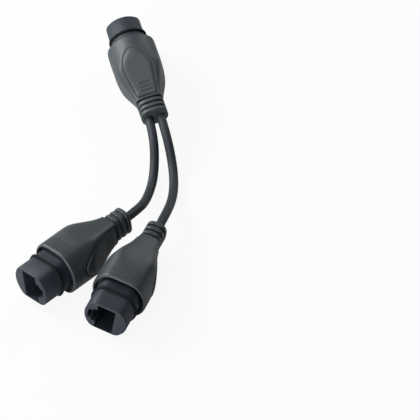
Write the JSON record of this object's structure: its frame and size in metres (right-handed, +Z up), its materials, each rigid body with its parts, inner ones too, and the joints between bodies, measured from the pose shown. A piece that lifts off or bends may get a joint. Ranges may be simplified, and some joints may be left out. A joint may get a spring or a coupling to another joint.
{
  "type": "power over ethernet multiplexer",
  "caption": "Weatherproof Y-shaped network lead that joins moulded branch sockets to a combiner socket through short cords, carrying data and power together.",
  "frame": {"origin": "centre of the sockets' footprint, on the surface they lie on; the cords aren't counted", "axes": "+Z up from the surface, +Y the way the combiner socket's mouth faces, +X to the right when seen from above"},
  "size_m": [0.0776, 0.1436, 0.0208],
  "materials": {
    "boot_moulding": "satin flexible vinyl moulding, fine spark-eroded texture",
    "jack_shell": "satin glass-filled engineering plastic",
    "seal_ring": "smooth moulded rubber",
    "contact_insert": "satin moulded plastic",
    "contacts": "gold-plated spring bronze",
    "inner_moulding": "dull low-pressure moulding",
    "core_insulation": "smooth extruded insulation",
    "splitter_board": "green resist over glass laminate",
    "cord_jacket": "satin extruded vinyl with a fine pebbled surface"
  },
  "bodies": {
    "root": {"combiner_boot": "boot_moulding", "combiner_jack_shell": "jack_shell", "combiner_seal_ring": "seal_ring", "combiner_contact_insert": "contact_insert", "combiner_contacts": "contacts", "combiner_inner_moulding": "inner_moulding", "combiner_cores": "core_insulation", "left_branch_boot": "boot_moulding", "left_branch_jack_shell": "jack_shell", "left_branch_seal_ring": "seal_ring", "left_branch_contact_insert": "contact_insert", "left_branch_contacts": "contacts", "left_branch_inner_moulding": "inner_moulding", "left_branch_cores": "core_insulation", "right_branch_boot": "boot_moulding", "right_branch_jack_shell": "jack_shell", "right_branch_seal_ring": "seal_ring", "right_branch_contact_insert": "contact_insert", "right_branch_contacts": "contacts", "right_branch_inner_moulding": "inner_moulding", "right_branch_cores": "core_insulation", "combiner_splitter_board": "splitter_board", "left_cord": "cord_jacket", "right_cord": "cord_jacket"}
  },
  "joints": []
}
